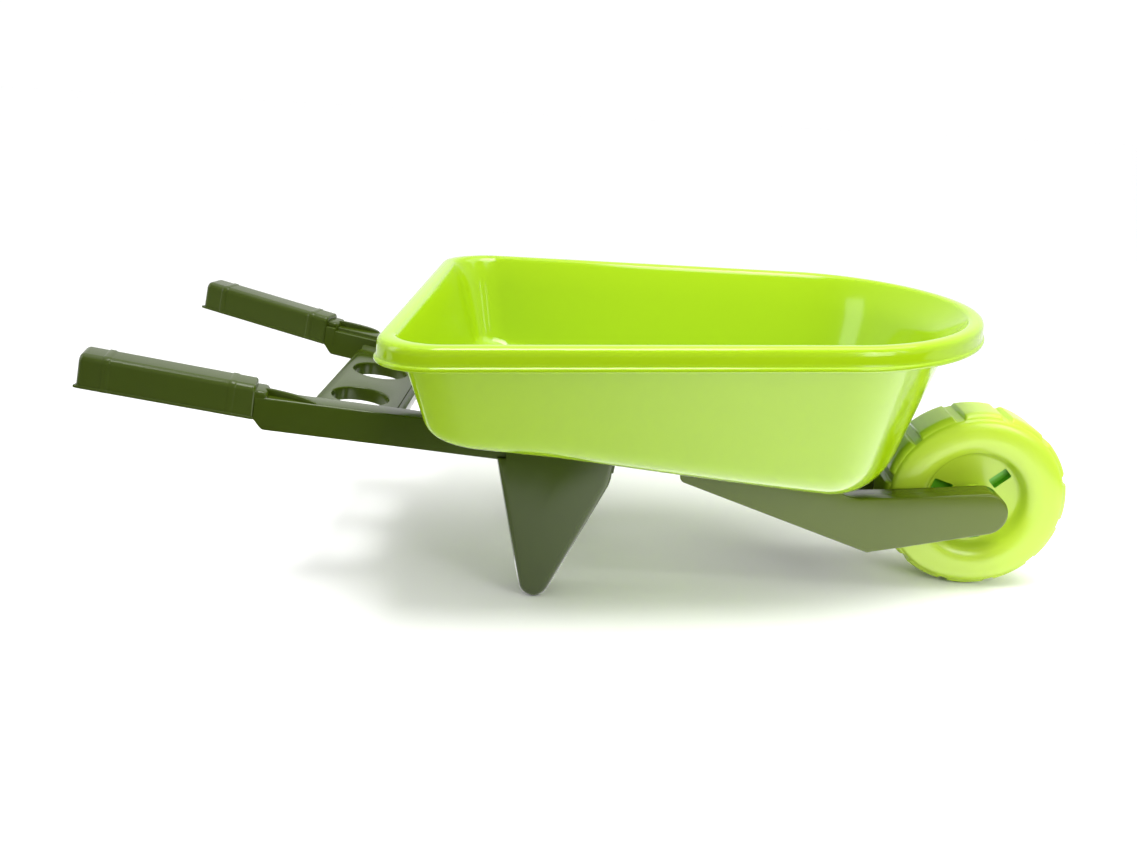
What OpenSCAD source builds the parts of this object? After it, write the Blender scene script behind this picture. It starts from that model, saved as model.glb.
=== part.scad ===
// Child-size garden wheelbarrow, moulded in plastic. Millimetres, +X forward, +Z up.
// The origin is on the ground, below the middle of the overall length.

/* [Overall] */
// Length from the rear ends of the grips to the front of the wheel
overall_l = 740; // [700:1:780]

/* [Wheel] */
// Diameter over the tread blocks
wheel_d = 146; // [140:1:150]
// Width of the flat tread
tread_w = 31; // [26:1:34]
// Width over the bulging side walls
tyre_w = 50; // [46:1:52]
// Number of tread blocks
blocks = 12; // [8:1:16]
// Depth of the notches between the blocks
notch_d = 3.6; // [2:0.2:5]
// Width of the notches between the blocks
notch_w = 6; // [4:0.5:8]
// Radius of the flat hub disc
disc_r = 36; // [32:1:38]

/* [Axle] */
// Diameter of the axle
axle_d = 10; // [8:0.5:12]
// Radial running clearance of the bushes on the axle
axle_play = 0.05; // [0.02:0.01:0.1]

/* [Tub] */
// Height of the rim's top above the ground, over the origin
rim_z = 219; // [210:1:230]
// Rise of the rim towards the front, per millimetre
rim_rise = 0.0225; // [0:0.0025:0.03]
// Half width of the rim over the origin
rim_half_w = 175; // [165:1:180]
// Narrowing of the half width towards the front, per millimetre
rim_taper = 0.139; // [0.1:0.001:0.16]
// Radius of the rim's rear corners
rim_corner_r = 40; // [36:1:50]
// Distance of the rim's rear edge behind the origin
rim_rear = 160; // [155:1:165]
// Distance at which the rounded nose starts
nose_start = 163; // [150:1:170]
// Distance of the rim's front edge from the origin
nose_end = 282; // [275:1:286]
// Width of the rolled rim
rim_w = 12; // [10:0.5:14]
// Wall thickness of the tub
tub_t = 2.8; // [2:0.1:4]
// Slope of the side walls from the vertical, in degrees
draft = 19; // [14:0.5:20]
// Slope of the rear wall from the vertical, in degrees
rear_draft = 16; // [12:0.5:20]
// Slope of the nose from the vertical, in degrees
nose_draft = 17; // [14:0.5:20]
// Extra inset of the wall below the rim at the nose
nose_shift = 8.5; // [6:0.5:10]
// Size of the rounding between the walls and the floor
floor_round = 22; // [18:1:30]
// Extra rounding under the nose
nose_round = 18; // [12:1:30]
// Height of the tub's underside over the origin
seat_z = 117.5; // [116:0.5:119]
// Downward slope of the tub's underside towards the front, in degrees
seat_pitch = 9; // [8.5:0.1:9.5]

/* [Frame] */
// Height of the rails' top over the origin
rail_z = 124; // [120:1:126]
// Downward slope of the rails towards the front, in degrees
rail_pitch = 7.7; // [7:0.1:8.5]
// Angle between each rail and the centre line, in degrees
splay = 10.15; // [9:0.05:11]
// Distance of the rails' outer faces from the centre line, over the origin
rail_y = 79.2; // [76:0.1:82]
// Width of a rail
rail_w = 24; // [22:0.5:26]
// Height of a rail
rail_h = 24; // [22:0.5:26]
// Wall thickness of the frame mouldings
frame_t = 2.8; // [2:0.1:3.5]
// Depth of the tool plate below the rails' top
plate_drop = 12.5; // [10:0.5:15]
// Radius of the two tool holes
hole_r = 22; // [18:0.5:23]
// Half the distance between the tool holes
hole_y = 39; // [36:0.5:42]
// Length of the collars below the tool plate
collar_l = 11; // [8:1:18]

/* [Grips] */
// Width of a grip over its beads
grip_w = 25.6; // [24:0.2:27]
// Height of a grip over its beads
grip_h = 25.6; // [24:0.2:27]
// Downward slope of the grips towards the front, in degrees
grip_pitch = 11; // [9:0.5:13]

/* [Legs and fork] */
// Radius of a leg's foot
foot_r = 12.5; // [10:0.5:14]
// Thickness of a leg
leg_w = 30; // [29:0.5:32]
// Half distance between the fork arms' inner faces
arm_in = 28.6; // [28:0.1:30]
// Half distance between the fork arms' outer faces
arm_out = 50; // [48:0.5:52]
// Radius of the rounded arm ends around the axle
arm_end_r = 17; // [15:0.5:18]

/* [Hidden] */
$fn = 48;

LIME = "yellowgreen";
WHEEL_LIME = "greenyellow";
OLIVE = "darkolivegreen";
STEEL = "lightgray";

axle_r = axle_d / 2;
wheel_r = wheel_d / 2;
axle_x = overall_l / 2 - wheel_r;
axle_z = wheel_r;
rail_slope = tan(rail_pitch);
seat_slope = tan(seat_pitch);
splay_slope = tan(splay);
screw_r = 2;

// ---- frames of reference --------------------------------------------------

// Plane of the rails' top
module on_frame() {
    translate([0, 0, rail_z]) rotate([0, rail_pitch, 0]) children();
}

// Plane of the tub's underside
module on_seat() {
    translate([0, 0, seat_z]) rotate([0, seat_pitch, 0]) children();
}

// Left and right copies: side is 1 on the left (+Y) and -1 on the right
module on_side(side) {
    if (side > 0) children();
    else mirror([0, 1, 0]) children();
}

// Along the left rail: X forward, Y = 0 on the outer face, Z = 0 on the top
module on_rail() {
    on_frame() translate([0, rail_y, 0]) rotate([0, 0, -splay]) children();
}

// Along the left grip: X = 0 at its front end, Y = 0 in its middle, Z = 0 below
grip_x = -250;
grip_y = rail_y - splay_slope * grip_x - rail_w / 2;
grip_z = 140.2;
module on_grip() {
    translate([grip_x, grip_y, grip_z]) rotate([0, grip_pitch, 0])
        rotate([0, 0, -splay]) children();
}

// Above the left leg's foot: X forward along the rail, Y = 0 on the rail's outer face
module on_leg() {
    translate([0, rail_y, 0]) rotate([0, 0, -splay]) children();
}

// ---- helpers ---------------------------------------------------------------

// Points on an arc about c, from angle a to angle b
function arc(c, r, a, b, n) = [for (i = [0:n]) let (t = a + (b - a) * i / n)
    [c[0] + r * cos(t), c[1] + r * sin(t)]];

// Rectangle from [-w/2, 0] to [w/2, h] with rounded corners
function round_rect(w, h, r, n = 4) = concat(
    arc([w / 2 - r, h - r], r, 0, 90, n), arc([r - w / 2, h - r], r, 90, 180, n),
    arc([r - w / 2, r], r, 180, 270, n), arc([w / 2 - r, r], r, 270, 360, n));

// Extrudes an outline in the YZ plane along +X
module bar(outline, l) {
    rotate([90, 0, 90]) linear_extrude(height = l) polygon(outline);
}

// Extrudes an outline in the XZ plane from y = a to y = b
module slab(outline, a, b) {
    translate([0, b, 0]) rotate([90, 0, 0]) linear_extrude(height = b - a) polygon(outline);
}

// Pan-head screw, head at the origin, shank towards -Z
module screw(l) {
    difference() {
        union() {
            cylinder(h = 2.2, r = 4);
            translate([0, 0, -l]) cylinder(h = l + 0.1, r = screw_r);
        }
        for (a = [0, 90]) rotate([0, 0, a]) translate([-2.2, -0.45, 1]) cube([4.4, 0.9, 2]);
    }
}

// ---- tub -------------------------------------------------------------------

arc_n = 8;
side_n = 3;
nose_n = 13;
half_n = arc_n + 1 + side_n + nose_n;
taper_a = atan(rim_taper);
wall_out = rim_w;
wall_in = rim_w + tub_t;

function rim_top(x) = rim_z + rim_rise * x;
function floor_top(x, up) = seat_z + up / cos(seat_pitch) - seat_slope * x;

// Corner radius of the outline at the inset q
function corner_r(q) = rim_corner_r - 0.45 * q;

// Half width of the outline at x and inset q
function half_w(x, q) = rim_half_w - rim_taper * x - q / cos(taper_a);

// Point i of the outline at the inset q, from the rear corner to the nose, y > 0
function half_pt(i, q) = let (r = corner_r(q), cx = -rim_rear + q + r, cy = half_w(cx, q + r))
    i <= arc_n ? let (t = 180 - (90 + taper_a) * i / arc_n) [cx + r * cos(t), cy + r * sin(t)] :
    i <= arc_n + side_n ? let (x0 = cx + r * sin(taper_a),
                               x = x0 + (nose_start - x0) * (i - arc_n) / (side_n + 1))
                          [x, half_w(x, q)] :
    let (t = 90 * (i - arc_n - side_n - 1) / (nose_n - 1),
         x = nose_start + (nose_end - q - nose_start) * sin(t))
    [x, half_w(x, q) * cos(t)];

// Point k of the whole outline
ring_n = 2 * half_n - 1;
function rim_pt(k, q) = k < half_n ? half_pt(k, q) :
    let (p = half_pt(ring_n - k, q)) [p[0], -p[1]];

// Rounding between wall and floor grows towards the nose
function floor_rad(k) = let (x = rim_pt(k, wall_out)[0])
    floor_round + nose_round * pow(max(0, (x - 60) / (nose_end - 60)), 2);

// Slope of the wall at point k, blended from rear to side to nose
function wall_slope(k) = let (i = min(k, ring_n - k))
    i <= arc_n ? tan(rear_draft + (draft - rear_draft) * pow(sin(90 * i / arc_n), 2)) :
    i <= arc_n + side_n ? tan(draft) :
    tan(draft + (nose_draft - draft) * pow(sin(90 * (i - arc_n - side_n - 1) / (nose_n - 1)), 2));

// Extra inset of the wall at point k
function nose_in(k) = let (i = min(k, ring_n - k))
    i <= arc_n + side_n ? 0 : nose_shift * pow(sin(90 * (i - arc_n - side_n - 1) / (nose_n - 1)), 2);

// Point k of the wall with the inset q, at the depth dz below the rim
function wall_pt(k, q, dz) = let (p = rim_pt(k, q + nose_in(k) + dz * wall_slope(k)))
    [p[0], p[1], rim_top(p[0]) - dz];
function wall_ring(q, dz) = [for (k = [0:ring_n - 1]) wall_pt(k, q, dz)];

// Inset at which the wall meets the floor at point k, for the wall inset q and the floor up
function foot_q(k, q, up) =
    let (q0 = q + nose_in(k),
         x0 = rim_pt(k, q0)[0],
         q1 = q0 + (rim_top(x0) - floor_top(x0, up)) * wall_slope(k),
         x1 = rim_pt(k, q1)[0],
         q2 = q0 + (rim_top(x1) - floor_top(x1, up)) * wall_slope(k))
    q2;

function on_plane(p, up) = [p[0], p[1], floor_top(p[0], up)];
function bez(a, p, q, r) = (1 - a) * (1 - a) * p + 2 * a * (1 - a) * q + a * a * r;

// Ring a (0 on the wall to 1 on the floor) of the rounding between wall and floor
function foot_ring(a, q, up, rad) = [for (k = [0:ring_n - 1])
    let (fq = foot_q(k, q, up), f = floor_rad(k) + rad,
         corner = on_plane(rim_pt(k, fq), up),
         wall_top = wall_pt(k, q, 16),
         on_wall = corner + (wall_top - corner) * f / norm(wall_top - corner),
         on_floor = on_plane(rim_pt(k, fq + f), up))
    bez(a, on_wall, corner, on_floor)];

function flat_ring(q, dz) = [for (k = [0:ring_n - 1]) let (p = rim_pt(k, q))
    [p[0], p[1], rim_top(p[0]) + dz]];

foot_n = 5;
// Section of the rolled rim, from the inner wall over the top and back under the lip
rim_section = [[wall_in - 0.2, -4], [wall_in - 1.4, -1.5], [wall_in - 3.6, -0.3], [wall_in - 5.6, 0],
    [6, -0.2], [3.6, -1.2], [2.2, -3.2], [1.4, -12], [0.4, -13.6], [0, -15], [0.3, -16.2],
    [1.6, -16.6], [2.8, -15.4], [4, -12.4], [4.8, -5], [6, -3.4], [wall_out - 2.6, -2.9],
    [wall_out - 1, -3.6], [wall_out, -5.4]];
tub_rings = concat(
    [for (j = [foot_n:-1:0]) foot_ring(j / foot_n, wall_in, tub_t, 0)],
    [wall_ring(wall_in, 16)],
    [for (s = rim_section) flat_ring(s[0], s[1])],
    [wall_ring(wall_out, 16)],
    [for (j = [0:foot_n]) foot_ring(j / foot_n, wall_out, 0, tub_t)]);

module tub_shell() {
    n = len(tub_rings);
    points = [for (r = tub_rings) for (p = r) p];
    sides = [for (j = [0:n - 2]) for (k = [0:ring_n - 1])
        let (k2 = (k + 1) % ring_n, a = j * ring_n + k, b = j * ring_n + k2,
             c = (j + 1) * ring_n + k2, d = (j + 1) * ring_n + k)
        for (f = [[a, c, b], [a, d, c]]) f];
    inside = [for (k = [0:ring_n - 1]) k];
    outside = [for (k = [0:ring_n - 1]) n * ring_n - 1 - k];
    polyhedron(points, concat(sides, [inside, outside]), convexity = 8);
}

// Places of the screws through the tub's floor, in the plane of its underside
rear_screw_x = [-96, -6];
front_screw_x = [96, 152];
front_screw_y = 17;
function rail_mid(x) = rail_y - rail_w / 2 / cos(splay) - splay_slope * x;
module at_rear_screws() {
    for (s = [1, -1]) for (x = rear_screw_x)
        on_seat() translate([x, s * rail_mid(x), 0]) children();
}
module at_front_screws() {
    for (s = [1, -1]) for (x = front_screw_x)
        on_seat() translate([x, s * front_screw_y, 0]) children();
}

module tub() {
    color(LIME) difference() {
        tub_shell();
        at_rear_screws() translate([0, 0, -1]) cylinder(h = 6, r = screw_r + 0.3);
        at_front_screws() translate([0, 0, -1]) cylinder(h = 6, r = screw_r + 0.3);
    }
}

// ---- handle frame: rails, tool plate and the tongues inside the grips ---------

rail_x1 = 8.6;
seat_x0 = -129;
plate_x0 = -221.5;
plate_x1 = -155;
hole_x = -192;
ledge_w = 6;
ledge_h = 2.5;
tongue_l = 60;
tongue_w = grip_w - 8;
tongue_h = grip_h - 8;
function rail_l(x) = x / (cos(splay) * cos(rail_pitch));
u0 = rail_l(grip_x);
u1 = rail_l(rail_x1);
rail_outline = [[0, -rail_h], [0, -1.2], [-1.2, 0], [1.2 - rail_w, 0], [-rail_w, -1.2],
    [-rail_w, -rail_h]];

// Everything above the tub's underside lowered by g, in front of the seat's rear end
module above_seat(g) {
    on_seat() translate([seat_x0 - g, -150, -g]) cube([320, 300, 60]);
}

// The rail as a solid bar, with the block and the rib behind the grip
module rail_bar() {
    on_rail() translate([u0, 0, 0]) {
        difference() {
            bar(rail_outline, u1 - u0);
            // lower step along the inner edge of the top
            translate([9, -rail_w - 1, -ledge_h]) cube([u1 - u0, ledge_w + 1, ledge_h + 1]);
            // slope under the rear end
            slab([[-1, -rail_h - 1], [-1, -17], [0, -17.4], [1.4, -18.6], [5.4, -22.8],
                [7.6, -rail_h], [7.6, -rail_h - 1]], -rail_w - 1, 1);
        }
        slab([[0, -6], [9, -6], [8.4, 2.8], [7.2, 4.1], [0.8, 4.4], [0, 3.6]], 3 - rail_w, 0);
        translate([6, 2 - rail_w / 2, 0]) rotate([0, 0, 12])
            slab(concat([[-2, -1], [-2, 4.2]],
                [for (a = [0:15:90]) [2 + 35 * sin(a), 4.6 * cos(a)]], [[37, -1]]), -1.5, 1.5);
    }
}

// The hollow below the rail's top
module rail_hollow() {
    difference() {
        on_rail() translate([u0 + 14, frame_t - rail_w, -rail_h - 1])
            cube([u1 - u0 - 14 - frame_t, rail_w - 2 * frame_t, rail_h + 1 - frame_t]);
        on_rail() translate([u0, -rail_w, -ledge_h - frame_t])
            cube([u1 - u0, ledge_w + frame_t, 10]);
        above_seat(frame_t);
    }
}

// Bosses inside the rail, for the tub's screws and the legs' screws
module rail_bosses() {
    for (x = rear_screw_x)
        on_seat() translate([x, rail_mid(x), -14]) cylinder(h = 13, r = 6);
    for (p = leg_screw_xz)
        on_leg() translate([p[0], -rail_w + 0.8, p[1]]) rotate([-90, 0, 0])
            cylinder(h = rail_w - 1.6, r = 5);
}

// Tongue inside the grip
module tongue() {
    on_grip() difference() {
        translate([-tongue_l, 0, (grip_h - tongue_h) / 2])
            bar(round_rect(tongue_w, tongue_h, 2), tongue_l + 3);
        for (a = [-tongue_l - 1, -26]) translate([a, 3 - tongue_w / 2, 7])
            cube([a < -40 ? 20 : 24, tongue_w - 6, tongue_h]);
    }
}

module tool_plate() {
    z = -plate_drop;
    a = plate_x0 / cos(rail_pitch);
    b = plate_x1 / cos(rail_pitch);
    h = hole_x / cos(rail_pitch);
    ya = rail_y - splay_slope * plate_x0 - rail_w + 2;
    yb = rail_y - splay_slope * plate_x1 - rail_w + 2;
    on_frame() difference() {
        union() {
            translate([0, 0, z - 3]) linear_extrude(height = 3)
                polygon([[a, -ya], [b, -yb], [b, yb], [a, ya]]);
            // folded rear and front edges
            translate([a, 0.5 - ya, z - 8]) cube([2.8, 2 * ya - 1, 7]);
            translate([b - 2.8, 0.5 - yb, z - 10]) cube([2.8, 2 * yb - 1, 8]);
            for (s = [1, -1]) translate([h, s * hole_y, z - collar_l])
                cylinder(h = collar_l - 1, r = hole_r + 2.6, $fn = 96);
            // curb along each rail
            for (s = [1, -1]) on_side(s) translate([0, rail_y, 0]) rotate([0, 0, -splay])
                translate([rail_l(plate_x0) + 8, -rail_w, z])
                    bar([[-9, -1], [1, -1], [1, 4.5], [-1, 4.5], [-4, 1.5], [-9, 0]], 56);
        }
        for (s = [1, -1]) translate([h, s * hole_y, z - collar_l - 1])
            cylinder(h = collar_l + 3, r = hole_r, $fn = 96);
        // step along the front edge
        translate([b - 6, -yb - 1, z - 1]) cube([7, 2 * yb + 2, 2]);
    }
}

module handle_frame() {
    color(OLIVE) difference() {
        union() {
            for (s = [1, -1]) on_side(s) {
                difference() {
                    rail_bar();
                    rail_hollow();
                }
                rail_bosses();
                tongue();
            }
            tool_plate();
        }
        above_seat(0);
        at_rear_screws() translate([0, 0, -12]) cylinder(h = 20, r = screw_r);
        for (s = [1, -1]) on_side(s) {
            at_leg_screws() translate([0, 0, -16]) cylinder(h = 20, r = screw_r);
            at_grip_screws() translate([0, 0, -12]) cylinder(h = 14, r = screw_r);
        }
    }
}

// ---- grips -------------------------------------------------------------------

grip_l = (overall_l / 2 + grip_x) / (cos(grip_pitch) * cos(splay));
// Two low beads around the grip, 16 mm from its rear end and 24 mm from its front end
rear_bead = 16;
front_bead = 24;
bead_l = 4.5;

// Outline of a grip's section, smaller by g all round, with a lip along the bottom
function grip_outline(g) = let (w = grip_w / 2 - g, h = grip_h - g, r = 4.5)
    concat(arc([w - r, h - r], r, 0, 90, 4), arc([r - w, h - r], r, 90, 180, 4),
        [[-w, g + 2.2], [-w - 0.8, g + 1.8], [-w - 0.8, g + 0.4], [-w, g], [w, g],
         [w + 0.8, g + 0.4], [w + 0.8, g + 1.8], [w, g + 2.2]]);

// Part of the grip's bar from a to b, measured from its rear end, smaller by g
module grip_bar(g, a, b) {
    on_grip() translate([a - grip_l, 0, 0]) bar(grip_outline(g), b - a);
}

module grip() {
    difference() {
        union() {
            grip_bar(3.4, 0, 5);
            grip_bar(1.9, 0.9, 5);
            grip_bar(0.9, 2.3, 5);
            grip_bar(0.5, 4, grip_l + 3);
            grip_bar(0, rear_bead, rear_bead + bead_l);
            grip_bar(0, grip_l - front_bead, grip_l - front_bead + bead_l);
        }
        on_grip() {
            translate([-tongue_l - 0.5, 0, (grip_h - tongue_h) / 2 - 0.1])
                bar(round_rect(tongue_w + 0.2, tongue_h + 0.2, 2), tongue_l + 5);
            translate([8 - grip_l, 4 - grip_w / 2, 4])
                cube([grip_l - tongue_l - 12, grip_w - 8, grip_h - 8]);
            translate([-34, 0, -1]) cylinder(h = 8, r = screw_r + 0.3);
            translate([-34, 0, -1]) cylinder(h = 3.4, r = 4.5);
        }
        // flush with the rail's rear end
        on_rail() translate([u0, -60, -60]) cube([60, 120, 120]);
    }
}
module grip_left() {
    color(OLIVE) grip();
}
module grip_right() {
    color(OLIVE) on_side(-1) grip();
}
// Screw place below the left grip, head downwards
module at_grip_screws() {
    on_grip() translate([-34, 0, 2.4]) rotate([180, 0, 0]) children();
}

// ---- legs --------------------------------------------------------------------

leg_out = 3;
leg_in = leg_w - leg_out;
leg_t = 3;
leg_screw_xz = [[-60, 115.5], [-28, 111]];
foot_x = -49.5 / cos(splay);
knee = [-17 / cos(splay), 97.7];
knee_r = 22;

// Side outline of a leg, smaller by g; top points follow the given heights
function leg_outline(g) = concat(
    [[-81 / cos(splay) + g * 1.02, g > 0 ? 140 : 112.6]],
    arc([foot_x, foot_r], foot_r - g, 190.3, 333, 12),
    arc(knee, knee_r - g, -27, 0, 4),
    g > 0 ? [[knee[0] + knee_r - g, 140]] :
    [[knee[0] + knee_r + 1.5, 114], [-76.3, 125], [-76.3, 112.4]]);

module leg() {
    difference() {
        on_leg() difference() {
            slab(leg_outline(0), -leg_in, leg_out);
            difference() {
                slab(leg_outline(leg_t), leg_t - leg_in, leg_out - leg_t);
                // web across the hollow
                translate([-36, -40, 0]) cube([3, 80, 200]);
            }
        }
        on_rail() translate([-130, 0, 0])
            bar([[0, -rail_h], [0, 20], [-rail_w, 20], [-rail_w, -rail_h]], 160);
        at_leg_screws() translate([0, 0, -6]) cylinder(h = 8, r = screw_r + 0.3);
    }
}
module leg_left() {
    color(OLIVE) leg();
}
module leg_right() {
    color(OLIVE) on_side(-1) leg();
}
// Screw places on the inner side of the left leg, heads towards the middle
module at_leg_screws() {
    for (p = leg_screw_xz)
        on_leg() translate([p[0], -leg_in, p[1]]) rotate([90, 0, 0]) children();
}

// ---- fork --------------------------------------------------------------------

function seat_at(x) = seat_z - seat_slope * x;
arm_x0 = 58;
arm_screw_xz = [[86, 92], [134, 78], [186, 60]];
arm_t = 2.8;

// Side outline of a fork arm, smaller by g
function arm_outline(g) = concat(
    [[arm_x0 + g, seat_at(arm_x0) - g]],
    arc([arm_x0 + 5, 89.5], 5 - g, 180, 251, 3),
    arc([209.5, 40.6], 5.2 - min(g, 5), 251.5, 281.5, 3),
    arc([axle_x, axle_z], arm_end_r - g, 281.5, 456, 18),
    [[240, 83.9 - g], [208, 81 - g], [190.5, 78.9 - g], [186, 83 - g],
     [176, seat_at(176) - g]]);

module fork_arm() {
    difference() {
        union() {
            difference() {
                slab(arm_outline(0), arm_in, arm_out);
                slab(arm_outline(arm_t), arm_in - 1, arm_out - arm_t);
            }
            intersection() {
                union() {
                    translate([axle_x, arm_in, axle_z]) rotate([-90, 0, 0])
                        cylinder(h = arm_out - arm_in - 1, r = axle_r + 4);
                    for (p = arm_screw_xz) translate([p[0], arm_in, p[1]]) rotate([-90, 0, 0])
                        cylinder(h = arm_out - arm_in - 1, r = 5);
                    // ribs across the hollow
                    for (x = [110, 160, 214, 256]) translate([x, arm_in + 2, 20])
                        cube([2.5, arm_out - arm_in - 4, 100]);
                }
                slab(arm_outline(1), arm_in, arm_out - 1);
            }
        }
        translate([axle_x, arm_in - 1, axle_z]) rotate([-90, 0, 0])
            cylinder(h = 17, r = axle_r);
        for (p = arm_screw_xz) translate([p[0], arm_in - 1, p[1]]) rotate([-90, 0, 0])
            cylinder(h = 15, r = screw_r);
    }
}
module fork_arm_left() {
    color(OLIVE) fork_arm();
}
module fork_arm_right() {
    color(OLIVE) on_side(-1) fork_arm();
}

// Saddle under the tub that joins the two arms
module fork_bridge() {
    color(OLIVE) difference() {
        union() {
            on_seat() translate([72, -arm_in, -3]) cube([100, 2 * arm_in, 3]);
            // side flanges against the arms
            for (s = [1, -1]) on_side(s)
                slab([[72, seat_at(72) - 1], [72, 84], [130, 68], [180, 52], [206, 48],
                      [206, 74], [176, 79], [164, seat_at(164) - 1]], arm_in - 3, arm_in);
            // rear and front webs
            slab([[72, seat_at(72) - 1], [72, 84], [75, 83], [75, seat_at(75) - 1]],
                -arm_in, arm_in);
            slab([[203, 48.5], [206, 48], [206, 74], [176, 79], [166, 90], [166, 84],
                  [174.5, 76], [203, 71.2]], -arm_in, arm_in);
            at_front_screws() translate([0, 0, -14]) cylinder(h = 13, r = 5.5);
        }
        at_front_screws() translate([0, 0, -12]) cylinder(h = 20, r = screw_r);
        for (s = [1, -1]) for (p = arm_screw_xz)
            translate([p[0], s * arm_in, p[1]]) rotate([90, 0, 0])
                cylinder(h = 8, r = screw_r + 0.3, center = true);
        // nothing stands above the tub's underside
        on_seat() translate([60, -60, 0]) cube([160, 120, 20]);
    }
}

// ---- axle and wheel ----------------------------------------------------------

module axle() {
    color(STEEL) translate([axle_x, 0, axle_z]) rotate([90, 0, 0])
        cylinder(h = 2 * (arm_in + 15.6), r = axle_r, center = true);
}

module axle_washers() {
    color(STEEL) for (s = [1, -1]) on_side(s)
        translate([axle_x, arm_in - 3.1, axle_z]) rotate([-90, 0, 0]) difference() {
            cylinder(h = 2.9, r = axle_r + 4);
            translate([0, 0, -1]) cylinder(h = 5, r = axle_r);
        }
}

hub_y = 23.6;
bush_r = axle_r + 3;
peg_n = 3;

// Half section of a wheel half: radius, distance from the middle plane
half_section = [[wheel_r, 0], [wheel_r, tread_w / 2 - 0.5], [wheel_r - 0.8, tread_w / 2 + 2.4],
    [wheel_r - 2.9, tread_w / 2 + 5], [wheel_r - 3.6, tread_w / 2 + 5.2],
    [wheel_r - 4.2, tyre_w / 2 - 2.8], [wheel_r - 7, tyre_w / 2 - 1.2],
    [wheel_r - 11.5, tyre_w / 2 - 0.2], [wheel_r - 16.5, tyre_w / 2],
    [wheel_r - 22, tyre_w / 2 - 0.3], [wheel_r - 28, tyre_w / 2 - 1.6],
    [wheel_r - 31.2, tyre_w / 2 - 3.4], [disc_r + 4.6, tyre_w / 2 - 5.4], [disc_r, 12],
    [bush_r + 3.6, 12], [bush_r + 3.2, hub_y], [bush_r, hub_y], [bush_r, 0], [bush_r + 2.6, 0],
    [bush_r + 2.6, 9.4], [disc_r + 2.2, 9.4], [disc_r + 7, tyre_w / 2 - 5.8],
    [wheel_r - 26, tyre_w / 2 - 4.2], [wheel_r - 18, tyre_w / 2 - 3], [wheel_r - 13.5, 19.4],
    [wheel_r - notch_d - 4.6, 15.6], [wheel_r - notch_d - 2.6, 11],
    [wheel_r - notch_d - 2.6, 0]];

// Section of a notch across the tread, wider at the top, running out at the shoulder
notch_section = [[wheel_r - notch_d, notch_w / 2 - 0.4], [wheel_r - notch_d + 0.4, notch_w / 2],
    [wheel_r + 1, notch_w / 2 + 1.9], [wheel_r + 1, -notch_w / 2 - 1.9],
    [wheel_r - notch_d + 0.4, -notch_w / 2], [wheel_r - notch_d, 0.4 - notch_w / 2]];

module on_axle() {
    translate([axle_x, 0, axle_z]) rotate([-90, 0, 0]) children();
}

// Left half of the wheel: the axis is Z here, the middle plane is Z = 0
module wheel_half(pegs) {
    difference() {
        union() {
            rotate_extrude($fn = 144) polygon(half_section);
            for (i = [0:peg_n - 1]) rotate([0, 0, 20 + 360 * i / peg_n]) translate([53, 0, 0])
                cylinder(h = tyre_w / 2 - 2, r = 5.5);
            if (pegs) for (i = [0:peg_n - 1]) rotate([0, 0, 20 + 360 * i / peg_n])
                translate([53, 0, -8]) cylinder(h = 9, r = 3);
        }
        for (i = [0:blocks - 1]) rotate([0, 0, -17.5 - 360 * i / blocks])
            translate([0, 0, -1]) linear_extrude(height = tyre_w / 2 + 2) polygon(notch_section);
        for (a = [42, 162, 282]) rotate([0, 0, -a]) translate([18.5, -4.5, 8])
            cube([disc_r - 19.5, 9, 6]);
        if (!pegs) for (i = [0:peg_n - 1]) rotate([0, 0, 20 + 360 * i / peg_n])
            translate([53, 0, -1]) cylinder(h = 9.5, r = 3.1);
    }
}
module wheel_half_left() {
    color(WHEEL_LIME) on_axle() wheel_half(true);
}
module wheel_half_right() {
    color(WHEEL_LIME) on_axle() mirror([0, 0, 1]) wheel_half(false);
}

module hub_bush() {
    difference() {
        union() {
            translate([0, 0, 1]) cylinder(h = hub_y, r = bush_r);
            translate([0, 0, hub_y]) cylinder(h = 1.5, r = bush_r + 3.5);
        }
        cylinder(h = 40, r = axle_r + axle_play);
    }
}
module hub_bush_left() {
    color(OLIVE) on_axle() hub_bush();
}
module hub_bush_right() {
    color(OLIVE) on_axle() mirror([0, 0, 1]) hub_bush();
}

// ---- screws ------------------------------------------------------------------

module tub_screws() {
    color(STEEL) {
        at_rear_screws() translate([0, 0, tub_t]) screw(tub_t + 11.5);
        at_front_screws() translate([0, 0, tub_t]) screw(tub_t + 11.5);
    }
}
module leg_screws() {
    color(STEEL) for (s = [1, -1]) on_side(s) at_leg_screws() screw(15);
}
module arm_screws() {
    color(STEEL) for (s = [1, -1]) on_side(s) for (p = arm_screw_xz)
        translate([p[0], arm_in - 3, p[1]]) rotate([90, 0, 0]) screw(16);
}
module grip_screws() {
    color(STEEL) for (s = [1, -1]) on_side(s) at_grip_screws() screw(11.5);
}

tub();
handle_frame();
grip_left();
grip_right();
leg_left();
leg_right();
fork_arm_left();
fork_arm_right();
fork_bridge();
axle();
axle_washers();
wheel_half_left();
wheel_half_right();
hub_bush_left();
hub_bush_right();
tub_screws();
leg_screws();
arm_screws();
grip_screws();
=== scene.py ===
import math

import bmesh
import bpy
import numpy as np
from mathutils import Matrix, Vector


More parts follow.
